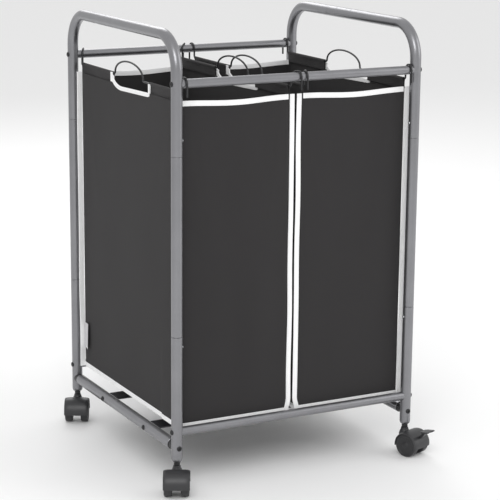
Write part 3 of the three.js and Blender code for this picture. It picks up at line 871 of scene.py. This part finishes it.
class BagForm:
    """The shape of one bag's wall, as a function of the place round it and the height."""

    NOTCH_SHARP = -87 * MM
    NOTCH_ROUND = 25 * MM
    NOTCH_RADIUS = 40 * MM

    def __init__(self, name, sign, bags):
        self.name, self.sign = name, sign
        low, high = (np.array(v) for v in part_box(f"bag_{name}"))
        inset = bags.cloth_thickness / 2
        self.low = np.array([low[0] + inset, low[1] + inset])
        self.high = np.array([high[0] - inset, high[1] - inset])
        self.floor, self.hem_top = low[2] + 1.5 * MM, high[2]
        self.front_top = 656 * MM
        self.hem_low = 655 * MM
        self.notch = 651 * MM
        self.slack, self.crease = bags.slack, bags.crease
        draw = np.random.default_rng(bags.fold_seed + (0 if sign < 0 else 5))
        self.folds = [
            [(draw.uniform(0.6, 2.6), draw.uniform(-1.6, 1.6), draw.uniform(0, 6.28), draw.uniform(0.4, 1))
             for _ in range(7)]
            for _ in range(4)
        ]
        self.columns()

    def columns(self):
        """Places round the wall, from the front left corner along +X, back, and round again."""
        width, depth = self.high - self.low
        corner = 3 * MM
        front = np.linspace(corner, width - corner, 41)
        edges = [self.NOTCH_SHARP - 0.4 * MM, self.NOTCH_SHARP + 0.4 * MM]
        bend = self.NOTCH_ROUND + self.NOTCH_RADIUS * np.sin(np.linspace(0, math.pi / 2, 15))
        side = np.concatenate([
            np.linspace(self.low[1] + corner, edges[0], 22),
            np.linspace(edges[1], self.NOTCH_ROUND, 24)[:-1],
            bend,
            np.linspace(bend[-1] + 0.4 * MM, self.high[1] - corner, 24),
        ])
        base, normal, panel, share = [], [], [], []
        x0, x1, y0, y1 = self.low[0], self.high[0], self.low[1], self.high[1]
        turn = np.radians(np.linspace(0, 90, 5))[1:-1]
        for k, (line, start) in enumerate(((front, -90), (side, 0), (front[::-1], 90), (side[::-1], 180))):
            out = np.array([round(math.cos(math.radians(start))), round(math.sin(math.radians(start)))])
            if k == 0:
                places = np.column_stack([x0 + line, np.full(len(line), y0)])
            elif k == 1:
                places = np.column_stack([np.full(len(line), x1), line])
            elif k == 2:
                places = np.column_stack([x0 + line, np.full(len(line), y1)])
            else:
                places = np.column_stack([np.full(len(line), x0), line])
            amount = (line - line[0]) / (line[-1] - line[0])
            base.append(places)
            normal.append(np.repeat(out[None].astype(float), len(line), axis=0))
            panel.append(np.full(len(line), k))
            share.append(amount)
            a = math.radians(start) + turn
            centre = places[-1] - out * corner
            arm = np.column_stack([np.cos(a), np.sin(a)])
            base.append(centre + arm * corner)
            normal.append(arm)
            panel.append(np.full(len(a), k))
            share.append(np.ones(len(a)))
        parts = [np.concatenate(v) for v in (base, normal, panel, share)]
        self.base, self.normal, self.panel, self.share = (np.concatenate([v, v[:1]]) for v in parts)
        step = np.linalg.norm(np.diff(self.base, axis=0), axis=1)
        self.reach = np.concatenate([[0], np.cumsum(step)])

    def top(self):
        """Height of the cloth's upper edge at each column."""
        y = self.base[:, 1]
        front = self.front_top - 3.6 * MM * np.sin(math.pi * self.share) ** 2
        rise = np.clip((y - self.NOTCH_ROUND) / self.NOTCH_RADIUS, 0, 1)
        slope = (self.NOTCH_ROUND - y) / (self.NOTCH_ROUND - self.NOTCH_SHARP)
        level = self.notch + 3.5 * MM * np.clip(slope, 0, 1)
        rounded_end = level + (self.hem_top - 2.5 * MM - self.notch) * (1 - np.sqrt(1 - rise**2))
        inside = (y > self.NOTCH_SHARP) & (y < self.NOTCH_ROUND + self.NOTCH_RADIUS)
        side = np.where(inside, rounded_end, self.hem_low)
        return np.where(self.panel % 2 == 0, front, side)

    def stand(self, height):
        """How far the wall stands out of its flat panel at each height (rows) and column.

        The panel swells as the sine of its width times a skewed hump over its height. Soft folds
        are sines that run slantwise, and two more run down from the upper corners.
        """
        t = np.clip((height - self.floor) / (self.front_top - self.floor), 0, 1.03)
        p = self.share + 0 * t
        free = np.sin(math.pi * np.clip(p, 0, 1))
        hump = np.sin(math.pi * np.clip(t, 0, 1) ** 0.75)
        outer = np.where(self.panel == (1 if self.sign > 0 else 3), 1.15, 1.0)
        outer = np.where(self.panel == (3 if self.sign > 0 else 1), 0.8, outer)
        swell = self.slack * outer * free**0.8 * hump
        soft = np.zeros_like(p)
        for k, group in enumerate(self.folds):
            here = self.panel == k
            total = sum(g * np.sin(2 * math.pi * (fx * p + fz * t) + phase) for fx, fz, phase, g in group)
            soft = np.where(here, total / 2.2, soft)
        soft = soft * free**0.6 * wave(t, 0, 0.12) * (1 - 0.55 * wave(t, 0.8, 1.0))
        pull = np.zeros_like(p)
        for corner, lean in ((0.0, 0.35), (1.0, -0.35)):
            for offset, strength in ((0.04, 1.0), (0.13, 0.6)):
                line = p - corner - np.sign(lean) * offset - lean * (1 - t)
                pull = pull + strength * np.exp(-((line / 0.035) ** 2)) * wave(t, 0.35, 0.95)
        return swell + self.crease * (soft + 1.1 * pull * free**0.5)

    def surface(self, height):
        """Points of the wall's middle surface for heights (rows, columns)."""
        out = self.stand(height)[..., None]
        flat = self.base[None] + out * self.normal[None]
        low = 1 - wave(height, self.floor, self.floor + 0.2)
        left_front = (self.panel == 0) & (self.share < 0.3) | (self.panel == 3) & (self.share > 0.85)
        if self.sign < 0:
            flat = flat - np.array([2.2 * MM, 0]) * (low * left_front * (self.panel == 3))[..., None]
        return np.concatenate([flat, height[..., None]], axis=-1)

    def at_columns(self, chosen, height):
        """Middle-surface points at some columns, each at its own height."""
        full = np.zeros((1, len(self.base)))
        full[0, chosen] = height
        full[0, ~chosen] = self.floor
        return self.surface(full)[0][chosen]


TRIM_HALF = 1.0 * MM


def trim_section(width):
    """Folded tape: two flat faces joined by a half circle at the free edge."""
    bend = arc((0, 0), TRIM_HALF, 90, 270, 8)
    flat = np.linspace(width - TRIM_HALF, 0, 5)[:-1]
    upper = np.column_stack([flat, np.full(4, TRIM_HALF)])
    lower = np.column_stack([flat[::-1], np.full(4, -TRIM_HALF)])
    return np.concatenate([upper, bend, lower])


def binding(path, side, width, loop=False):
    side = np.broadcast_to(np.asarray(side, float), path.shape)
    return carried(path, trim_section(width), side, capped=not loop)


def wire_path(x, radius, hook_drift):
    """Hook over the front rail, along the hem, up into the handle arch, and the same to the back."""
    rail = settings()[0].rail_radius
    _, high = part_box("bag_wire_left_outer")
    hook = rail + radius + 0.35 * MM
    hem, hook_tip, arch_top = 670.5 * MM, 666 * MM, 697 * MM
    bend, half = 4 * MM, 58 * MM
    foot = hem + bend
    top = high[2] - radius
    crest = min(top, arch_top) - foot
    inside = POST_Y - hook
    front = np.concatenate([
        [[-POST_Y - hook, hook_tip]],
        arc((-POST_Y, TOP_RAIL_Z), hook, 180, 0, 18),
        arc((-inside + bend, foot), bend, 180, 270, 6),
        arc((-half - bend, foot), bend, -90, 0, 6),
        arc((0, foot), (half, crest), 180, 90, 24),
    ])
    back = front[::-1] * [-1, 1]
    line = resampled(np.concatenate([front, back[1:]]), 1.6 * MM)
    drift = np.zeros(len(line))
    for sign, amount in zip((-1, 1), hook_drift):
        drift += amount * wave(sign * line[:, 0], inside - 5 * MM, POST_Y + hook / 2)
    return np.column_stack([x + drift, line])


class SORTER_OT_wires(bpy.types.Operator):
    """Build the four hooked wires with their raised handle arches"""

    bl_idname = "sorter.wires"
    bl_label = "Bag wires"

    def execute(self, context):
        radius = settings()[1].wire_radius
        drifts = {
            ("left", "outer"): (0.5 * MM, 8 * MM),
            ("left", "inner"): (11 * MM, 13 * MM),
            ("right", "inner"): (-4.5 * MM, -1 * MM),
            ("right", "outer"): (0.0, 0.0),
        }
        for (name, which), drift in drifts.items():
            node = f"bag_wire_{name}_{which}"
            path = wire_path(middle(node)[0], radius, drift)
            build(
                f"wire_{name}_{which}",
                tube(path, radius, 14),
                [paint("black")],
                f"{name}_bag",
                [node],
            )
        return {"FINISHED"}


class SORTER_OT_bags(bpy.types.Operator):
    """Build the cloth bags, their hems, their white binding and the care label"""

    bl_idname = "sorter.bags"
    bl_label = "Bags"

    def execute(self, context):
        bags = settings()[1]
        for name, sign in (("left", -1), ("right", 1)):
            form = BagForm(name, sign, bags)
            body = f"{name}_bag"
            trims = self.trims(form, bags, body)
            hems = self.hems(form, bags, body)
            floor = self.floor(form, bags, body)
            top = form.top()
            rise = np.linspace(0, 1, 73)[:, None]
            height = form.floor + (top - form.floor) * rise
            points = form.surface(height)
            wall = build(
                f"bag_cloth_{name}",
                shell(
                    points,
                    bags.cloth_thickness,
                    form.reach,
                    rise[:, 0] * (form.front_top - form.floor),
                    closed=True,
                ),
                [paint("cloth")],
                body,
                [f"bag_{name}"],
            )
        self.care_label(bags)
        return {"FINISHED"}

    def floor(self, form, bags, body):
        """Bottom panel: it hangs between its four seams as the product of two sines."""
        p, q = np.meshgrid(np.linspace(0, 1, 31), np.linspace(0, 1, 41))
        inset = 1.2 * MM
        low, high = form.low + inset, form.high - inset
        sag = 3.5 * MM * (np.sin(math.pi * p) * np.sin(math.pi * q)) ** 0.7
        ripple = 0.5 * MM * np.sin(9 * p + 4 * q) * np.sin(math.pi * p) * np.sin(math.pi * q)
        x, y = low[0] + (high[0] - low[0]) * p, low[1] + (high[1] - low[1]) * q
        points = np.stack([x, y, form.floor + 1.5 * MM - sag + ripple], axis=-1)
        patches = shell(points, bags.cloth_thickness, points[0, :, 0], points[:, 0, 1])
        return build(f"bag_floor_{form.name}", patches, [paint("cloth")], body)

    def hems(self, form, bags, body):
        """Casing folded over each wire: two flat legs below and a round loop about the wire."""
        made = []
        radius = bags.wire_radius + 0.9 * MM
        centre = form.hem_top - radius - bags.cloth_thickness / 2
        drop = centre - form.hem_low + 1 * MM
        loop = arc((0, 0), radius, 205, -25, 16)
        section = np.concatenate([
            [[-1.0 * MM, -drop], [-1.0 * MM, -drop / 2], [-1.2 * MM, -radius * 1.5]],
            loop,
            [[1.2 * MM, -radius * 1.5], [1.0 * MM, -drop / 2], [1.0 * MM, -drop]],
        ])
        length = np.concatenate([[0], np.cumsum(np.linalg.norm(np.diff(section, axis=0), axis=1))])
        runs = (
            ("front", form.low[1], form.NOTCH_SHARP),
            ("back", form.NOTCH_ROUND + form.NOTCH_RADIUS, form.high[1]),
        )
        for which in ("inner", "outer"):
            x = middle(f"bag_wire_{form.name}_{which}")[0]
            for place, start, end in runs:
                y = np.linspace(start, end, int((end - start) / (3 * MM)))[:, None]
                pucker = 0.25 * MM * np.sin(y * 2 * math.pi / (11 * MM) + x * 90)
                sway = 0.5 * MM * np.sin(y * 2 * math.pi / (83 * MM) + x * 200)
                points = np.stack([
                    x + section[:, 0] * (1 + 0.06 * np.sin(y * 700)) + sway * (section[:, 1] < -radius),
                    y + 0 * section[:, 0],
                    centre + section[:, 1] + pucker * (section[:, 1] < -drop / 2),
                ], axis=-1)
                hem = build(
                    f"bag_hem_{form.name}_{which}_{place}",
                    shell(points, 0.8 * MM, length, y[:, 0]),
                    [paint("hem")],
                    body,
                )
                made.append((hem, end - start))
        return made

    def trims(self, form, bags, body):
        """White tape: corner fins, bands on the front and back edges, the base and the notches."""
        made = []
        width = bags.trim_width

        def add(name, patches):
            made.append(build(f"trim_{name}_{form.name}", patches, [paint("trim")], body))

        for end, place in ((-1, "front"), (1, "back")):
            panel = 0 if end < 0 else 2
            chosen = (form.panel == panel) & (np.abs(form.normal[:, 1]) > 0.99)
            chosen[-1] = False
            edge = form.at_columns(chosen, form.top()[chosen] + 0.3 * MM)
            wall_x = {-1: form.low[0], 1: form.high[0]}
            add(f"top_{place}", binding(edge, (0, 0, -1), width))
            for side in (-1, 1):
                facing = "outer" if side == form.sign else "inner"
                z = np.linspace(form.floor - 1 * MM, form.front_top + 1 * MM, 120)
                reach = 9.0 * MM if facing == "outer" else 8.0 * MM
                curl = 1 - 0.55 * (1 - wave(z, form.floor, form.floor + 22 * MM)) * (facing == "inner")
                sway = 0.35 * MM * np.sin(z * 2 * math.pi / 0.23 + side + end)
                x = wall_x[side] + side * (reach * curl + sway)
                if form.sign < 0 and side < 0 and end < 0:
                    x = x - 2.2 * MM * (1 - wave(z, form.floor, form.floor + 0.2))
                y = end * (abs(form.low[1]) + 0.3 * MM) + 0.4 * MM * np.sin(z * 2 * math.pi / 0.17 + side)
                path = np.column_stack([x, y + 0 * z, z])
                add(f"corner_{place}_{facing}", binding(path, (-side, 0, 0), reach + 0.6 * MM))
        ring = form.surface(np.full((1, len(form.base)), form.floor - 1 * MM))[0]
        add("base", self.ring_binding(ring, width))
        for k in (1, 3):
            y = form.base[:, 1]
            chosen = (form.panel == k) & (y > form.NOTCH_SHARP)
            chosen &= y < form.NOTCH_ROUND + form.NOTCH_RADIUS + 1e-6
            chosen &= np.abs(form.normal[:, 0]) > 0.99
            line = form.at_columns(chosen, form.top()[chosen])
            line = line[np.argsort(line[:, 1])]
            rise = np.array([[line[0, 0], line[0, 1], form.hem_top - 3 * MM]])
            end = np.array([[line[-1, 0], line[-1, 1] + 0.2 * MM, form.hem_top - 1.2 * MM]])
            path = resampled(np.concatenate([rise, line, end]), 2 * MM)
            ahead = along(path)
            facing = "outer" if (k == 1) == (form.sign > 0) else "inner"
            add(f"notch_{facing}", binding(path, self.below(path, ahead), 7 * MM))
        return made

    def below(self, path, ahead):
        """Direction into the cloth beside a notch edge: across the path, away from the opening."""
        across = np.cross(ahead, np.array([1.0, 0, 0]))
        return across if across[len(across) // 2][2] < 0 else -across

    def ring_binding(self, ring, width):
        """Tape round the base: its free edge hangs level below the wall, all the way round."""
        ahead = unit(np.roll(ring[:-1], -1, axis=0) - np.roll(ring[:-1], 1, axis=0))
        ahead = np.concatenate([ahead, ahead[:1]])
        section = np.vstack([trim_section(width), trim_section(width)[:1]])
        out = np.cross(ahead, UP)
        points = ring[:, None] + section[None, :, :1] * UP + section[None, :, 1:] * out[:, None]
        reach = np.concatenate([[0], np.cumsum(np.linalg.norm(np.diff(ring, axis=0), axis=1))])
        round_reach = np.concatenate([[0], np.cumsum(np.linalg.norm(np.diff(section, axis=0), axis=1))])
        return [patch(points, round_reach, reach)]

    def care_label(self, bags):
        """Blank label sewn into the back seam: it stands off the side and curls at its free end."""
        low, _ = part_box("bag_left")
        u, v = np.meshgrid(np.linspace(0, 1, 15), np.linspace(0, 1, 21))
        width, height = 24 * MM, 48 * MM
        x = low[0] - 1.6 * MM - 5 * MM * u**1.5 * (1 - 0.3 * v)
        y = 199 * MM - width * u * 0.98
        points = np.stack([x, y + 0 * v, 143 * MM + height * v + 1.5 * MM * u], axis=-1)
        label = build(
            "care_label",
            shell(points, 0.35 * MM, u[0] * width, v[:, 0] * height),
            [paint("label")],
            "left_bag",
        )


# ---- Casters ----


class Caster:
    """Places one caster's patches: local +X points from the swivel axis to the axle."""

    def __init__(self, corner):
        self.corner = corner
        axle = middle(f"caster_axle_{corner}")
        post = post_at(corner)
        self.heading = math.degrees(math.atan2(axle[1] - post[1], axle[0] - post[0]))
        self.turn, self.post = about_z(self.heading), post

    def put(self, patches):
        return [moved(p, self.turn, self.post) for p in patches]


def hood_patches(form):
    """Cover over both wheels: an arc about the axle whose radius eases down at both edges."""
    axle = np.array([form.trail, form.wheel_radius])
    a = np.radians(np.linspace(-9, 189, 56))[:, None]
    s = np.linspace(-1, 1, 33)
    y = (form.half_width - 0.9 * MM) * s
    thick = 1.7 * MM
    radius = form.hood_radius - thick / 2 - 1.5 * MM * np.abs(s) ** 8 - 0.5 * MM * s**2
    x, z = axle[0] + radius * np.cos(a), axle[1] + radius * np.sin(a)
    cover = shell(np.stack([x, y + 0 * a, z], axis=-1), thick, y, a[:, 0] * form.hood_radius)
    return cover + web_patches(form, axle) + boss_patches(form)


def web_patches(form, axle):
    """Middle web: a round plate cut off flat below, its radius the lesser of the two limits."""
    a = np.linspace(0, 2 * math.pi, 73)
    limit = form.hood_radius - 1.6 * MM
    drop = 4 * MM
    flat = np.where(np.sin(a) < -1e-3, drop / np.maximum(-np.sin(a), 1e-3), limit)
    radius = np.minimum(limit, flat)
    rows = np.array([[0, -6.4], [0.96, -6.4], [1, -5.6], [1, 5.6], [0.96, 6.4], [0, 6.4]])
    k, y = rows[:, :1], rows[:, 1:] * MM
    points = np.stack(
        [axle[0] + k * radius * np.cos(a), y + 0 * a, axle[1] + k * radius * np.sin(a)], axis=-1
    )
    return [patch(points)]


def boss_patches(form):
    """Neck that carries the stem: a round column that flares where it meets the cover."""
    low, top = 34 * MM, 47.5 * MM
    profile = [
        [0, low],
        [10.5 * MM, low],
        [8.2 * MM, 41.5 * MM],
        [6.7 * MM, 44 * MM],
        [6.4 * MM, top],
        [0, top],
    ]
    return [lathe(rounded(profile, 1.6 * MM), 36)]


def wheel_patches(form, side):
    """One wheel: a rounded tread, a shallow dish in its outer face and a small hub dome."""
    inner = 7.5 * MM
    r = form.wheel_radius
    outline = np.array([
        [0, 0], [17.6, 0], [20.2, 0.5], [21, 1.9], [21, 11.6], [20.4, 13.1], [18.6, 14],
        [16.8, 13.6], [15.8, 12.7], [6.2, 12.5], [5.4, 13.3], [3.4, 13.9], [0, 14],
    ]) * MM
    outline[:, 0] *= r / (21 * MM)
    outline[:, 1] += inner
    body = lathe(rounded(outline, 1.1 * MM), 56)
    turn = turned_to((0, side, 0), (1, 0, 0))
    return [moved(body, turn, (form.trail, 0, r))]


def lever_patches(form, node):
    """Brake lever: a curved arm from its pivot up to a crowned foot plate with raised ribs.

    The plate's half width is a superellipse of its length, and three ribs are squared sines.
    """
    pivot = np.array([31.5, 34.0]) * MM
    start, end = 41.5 * MM, 60 * MM
    u = np.linspace(0, 1, 41)[:, None]
    s = np.linspace(-1, 1, 25)
    half = 10 * MM * (1 - np.abs(2 * u - 1) ** 5) ** 0.2 + 0.2 * MM
    x = start + (end - start) * u
    ribs = 0.35 * MM * np.clip(np.sin(u * math.pi * 7), 0, 1) ** 2 * (np.abs(s) < 0.75)
    z = 49.0 * MM + 3.2 * MM * u - 0.9 * MM * s**2 + ribs
    plate = shell(np.stack([x + 0 * s, half * s, z], axis=-1), 2.6 * MM, s * 11 * MM, u[:, 0] * 24 * MM)
    bow = np.array([[pivot[0] - 3 * MM, pivot[1]], [pivot[0] + 5 * MM, pivot[1] + 2 * MM],
                    [pivot[0] + 12 * MM, pivot[1] + 9 * MM], [pivot[0] + 15 * MM, pivot[1] + 14.5 * MM]])
    line = resampled(rounded(bow, 5 * MM), 1.2 * MM)
    path = np.column_stack([line[:, 0], 0 * line[:, 0], line[:, 1]])
    edge = rounded([[-4.6, -2.4], [4.6, -2.4], [4.6, 2.4], [-4.6, 2.4], [-4.6, -2.4]], 0.8)[:-1] * MM
    arm = carried(path, edge, np.broadcast_to(np.array([0, 1.0, 0]), path.shape))
    return plate + arm


class SORTER_OT_casters(bpy.types.Operator):
    """Build the four twin-wheel casters and their brake levers"""

    bl_idname = "sorter.casters"
    bl_label = "Casters"

    def execute(self, context):
        form = settings()[2]
        for corner in CORNERS:
            caster = Caster(corner)
            build(
                f"hood_{corner}",
                caster.put(hood_patches(form)),
                [paint("hood")],
                f"swivel_{corner}",
                [f"caster_hood_{corner}"],
            )
            collar = rounded(
                [[0, 47.7], [4.8, 47.7], [5.3, 48.4], [5.3, 53.2], [4.9, 53.8], [4, 53.8], [4, 60], [0, 60]], 0.4
            )
            build(
                f"stem_{corner}",
                caster.put([lathe(collar * MM, 32)]),
                [paint("saddle")],
                "cart",
                [f"caster_stem_{corner}"],
            )
            for hand, side in (("a", 1), ("b", -1)):
                build(
                    f"roller_{hand}_{corner}",
                    caster.put(wheel_patches(form, side)),
                    [paint("wheel")],
                    f"wheel_{hand}_{corner}",
                    [f"wheel_{hand}_{corner}"],
                )
            pin = rounded([[0, -17.5], [2.6, -17.5], [3, -17], [3, 17], [2.6, 17.5], [0, 17.5]], 0.3) * MM
            build(
                f"axle_{corner}",
                caster.put([moved(lathe(pin, 24), turned_to((0, 1, 0)), (form.trail, 0, form.wheel_radius))]),
                [paint("steel")],
                f"swivel_{corner}",
                [f"caster_axle_{corner}"],
            )
            if corner.endswith("right"):
                node = f"brake_lever_{corner}"
                build(
                    f"lever_{corner}",
                    caster.put(lever_patches(form, node)),
                    [paint("hood")],
                    f"brake_{corner}",
                    [node],
                )
        return {"FINISHED"}


# ---- Stage ----


class SORTER_OT_stage(bpy.types.Operator):
    """Build the pale floor, the soft lights and the camera"""

    bl_idname = "sorter.stage"
    bl_label = "Stage"

    def execute(self, context):
        scene = context.scene
        self.camera(scene)
        self.floor(scene)
        self.lights(scene)
        scene.view_settings.view_transform = "Standard"
        return {"FINISHED"}

    def camera(self, scene):
        lens = bpy.data.cameras.new("camera")
        lens.lens = 127.155
        lens.clip_start, lens.clip_end = 0.05, 50
        camera = bpy.data.objects.new("camera", lens)
        scene.collection.objects.link(camera)
        yaw, pitch, roll = (math.radians(v) for v in (27.8461, 13.1232, 0.5208))
        ahead = np.array([math.sin(yaw) * math.cos(pitch), math.cos(yaw) * math.cos(pitch), -math.sin(pitch)])
        level = np.array([math.cos(yaw), -math.sin(yaw), 0])
        lift = np.cross(level, ahead)
        right = math.cos(roll) * level + math.sin(roll) * lift
        up = math.cos(roll) * lift - math.sin(roll) * level
        matrix = np.eye(4)
        matrix[:3, 0], matrix[:3, 1], matrix[:3, 2] = right, up, -ahead
        matrix[:3, 3] = (-1.4239, -2.7413, 1.0685)
        camera.matrix_world = Matrix(matrix.tolist())
        scene.camera = camera

    def floor(self, scene):
        size = 12
        mesh = bpy.data.meshes.new("floor")
        corners = [(-size, -size, 0), (size, -size, 0), (size, size, 0), (-size, size, 0)]
        mesh.from_pydata(corners, [], [(0, 1, 2, 3)])
        floor = bpy.data.objects.new("floor", mesh)
        scene.collection.objects.link(floor)
        shade = Shade("pale floor", 0.9)
        shade.surface.inputs["Base Color"].default_value = (0.92, 0.92, 0.92, 1)
        mesh.materials.append(shade.material)

    def lights(self, scene):
        world = bpy.data.worlds.new("studio")
        world.use_nodes = True
        background = world.node_tree.nodes["Background"]
        background.inputs["Color"].default_value = (1, 1, 1, 1)
        background.inputs["Strength"].default_value = 0.85
        scene.world = world
        for name, place, size, power in (
            ("key", (-1.7, -2.5, 2.6), 1.8, 42),
            ("fill", (2.6, -1.6, 1.7), 2.2, 22),
            ("rim", (0.6, 2.6, 2.4), 1.6, 24),
        ):
            lamp = bpy.data.lights.new(name, "AREA")
            lamp.size, lamp.energy = size, power
            light = bpy.data.objects.new(name, lamp)
            scene.collection.objects.link(light)
            turn = turned_to(np.array(place) - [0, 0, 0.4])
            matrix = np.eye(4)
            matrix[:3, :3], matrix[:3, 3] = turn, place
            light.matrix_world = Matrix(matrix.tolist())


# ---- Add-on ----

STEPS = (
    SORTER_OT_stage,
    SORTER_OT_posts,
    SORTER_OT_handles,
    SORTER_OT_rails,
    SORTER_OT_slats,
    SORTER_OT_screws,
    SORTER_OT_buttons,
    SORTER_OT_wires,
    SORTER_OT_bags,
    SORTER_OT_casters,
)


class SORTER_PT_panel(bpy.types.Panel):
    """Sizes, colours and building steps of the laundry sorter"""

    bl_label = "Laundry sorter"
    bl_idname = "SORTER_PT_panel"
    bl_space_type = "VIEW_3D"
    bl_region_type = "UI"
    bl_category = "Sorter"

    def draw(self, context):
        for group in settings():
            box = self.layout.box()
            for key in group.bl_rna.properties.keys():
                if key not in ("rna_type", "name"):
                    box.prop(group, key)
        for step in STEPS:
            self.layout.operator(step.bl_idname)


GROUPS = (
    ("sorter_frame", FrameSettings),
    ("sorter_bags", BagSettings),
    ("sorter_casters", CasterSettings),
)


def register():
    for key, group in GROUPS:
        bpy.utils.register_class(group)
        setattr(bpy.types.Scene, key, PointerProperty(type=group))
    for step in (*STEPS, SORTER_PT_panel):
        bpy.utils.register_class(step)


def unregister():
    for step in (SORTER_PT_panel, *reversed(STEPS)):
        bpy.utils.unregister_class(step)
    for key, group in reversed(GROUPS):
        delattr(bpy.types.Scene, key)
        bpy.utils.unregister_class(group)


def main():
    register()
    for step in STEPS:
        family, name = step.bl_idname.split(".")
        getattr(getattr(bpy.ops, family), name)()


if __name__ == "__main__":
    main()
